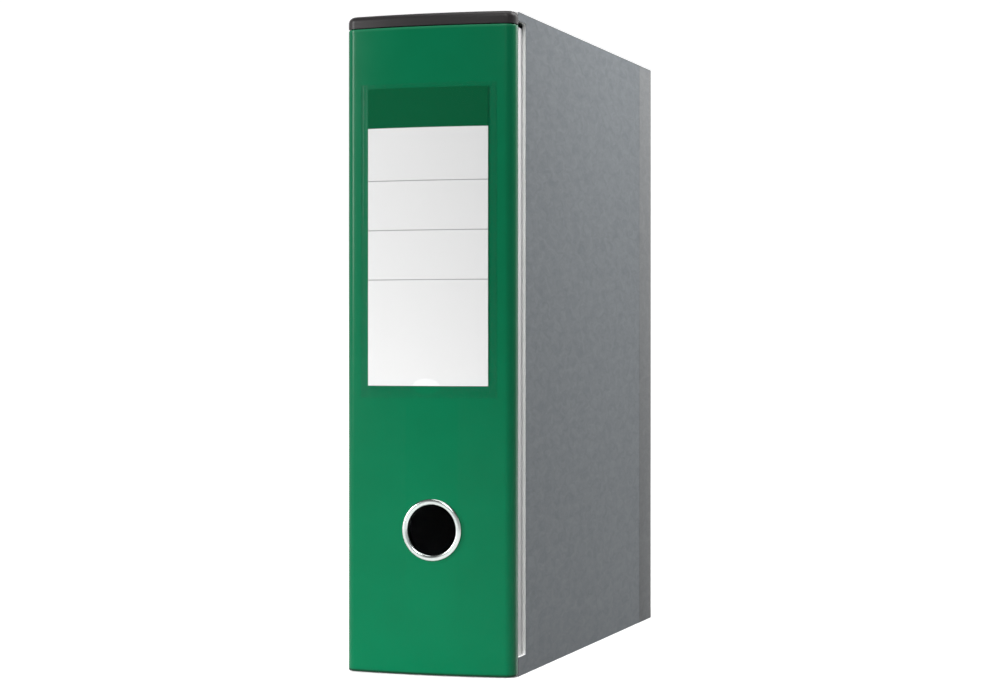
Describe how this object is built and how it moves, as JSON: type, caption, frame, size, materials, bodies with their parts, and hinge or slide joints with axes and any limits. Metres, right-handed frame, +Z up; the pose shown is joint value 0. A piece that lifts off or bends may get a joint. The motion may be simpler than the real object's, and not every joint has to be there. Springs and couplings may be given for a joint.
{
  "type": "lever arch file",
  "caption": "Upright lever arch file in a grey slipcase: bowed green spine with label pocket and finger ring, black hood, and a lever-opened filing mechanism.",
  "frame": {"origin": "middle of the footprint, on the surface that the file stands on", "axes": "+Z up; the spine faces -Y and the slipcase's closed back faces +Y; +X is the side of the front cover"},
  "size_m": [0.094, 0.302, 0.35],
  "materials": {
    "grey_mottled_paper": "matt, faintly mottled",
    "grey_board": "raw board",
    "white_board": "raw white-lined board",
    "black_plastic": "satin moulded",
    "green_foil": "fine linen embossed, satin",
    "cover_paper": "matt",
    "lining_paper": "matt",
    "hinge_cloth": "woven",
    "chrome": "polished",
    "clear_film": "clear, glossy",
    "label_card": "smooth printed",
    "nickel_plate": "nickel plated",
    "wire": "drawn, nickel plated",
    "spring_steel": "blued spring steel"
  },
  "bodies": {
    "slipcase": {"case_side_left": "white_board", "case_side_right": "white_board", "case_back": "white_board", "case_bottom": "white_board", "case_top": "white_board", "case_paper": "grey_mottled_paper", "base_paper": "grey_mottled_paper", "top_hood": "black_plastic"},
    "file": {"spine_board": "grey_board", "spine_foil": "green_foil", "spine_lining": "lining_paper", "finger_ring": "chrome", "ring_washer": "nickel_plate", "label_pocket": "clear_film", "front_cover_board": "grey_board", "front_cover_paper": "cover_paper", "front_cover_lining": "lining_paper", "back_cover_board": "grey_board", "back_cover_paper": "cover_paper", "back_cover_lining": "lining_paper", "front_hinge": "hinge_cloth", "back_hinge": "hinge_cloth", "base_plate": "nickel_plate", "rivets": "nickel_plate", "posts": "nickel_plate", "arch_bearings": "nickel_plate", "leaf_spring": "spring_steel", "lever_bracket": "nickel_plate", "lever_pin": "nickel_plate"},
    "arches": {"arch_wire": "wire"},
    "lever": {"lever_arm": "nickel_plate", "lever_grip": "black_plastic", "roller_pin": "nickel_plate"},
    "roller": {"roller": "nickel_plate"},
    "compressor": {"compressor_bar": "nickel_plate", "compressor_clamp": "black_plastic"},
    "label": {"label_card": "label_card"}
  },
  "joints": [
    {"name": "file_slide", "type": "slide", "parent": "slipcase", "child": "file", "axis": [0, -1, 0], "range_m": [0, 0.29]},
    {"name": "lever_lift", "type": "hinge", "parent": "file", "child": "lever", "pos_m": [-0.0246, -0.111, 0.19273], "axis": [0, -1, 0], "range_deg": [0, 90]},
    {"name": "arches_tilt", "type": "hinge", "parent": "file", "child": "arches", "pos_m": [-0.0385, -0.12, 0.17272], "axis": [0, 0, -1], "range_deg": [0, 21]},
    {"name": "roller_spin", "type": "hinge", "parent": "lever", "child": "roller", "pos_m": [-0.0326, -0.111, 0.19273], "axis": [0, 1, 0], "continuous": true},
    {"name": "compressor_slide", "type": "slide", "parent": "file", "child": "compressor", "axis": [1, 0, 0], "range_m": [0, 0.0361]},
    {"name": "label_slide", "type": "slide", "parent": "file", "child": "label", "axis": [0, 0, 1], "range_m": [0, 0.0321]}
  ],
  "couplings": [
    {"joint": "arches_tilt", "follows": "lever_lift", "ratio": 0.23333}
  ]
}
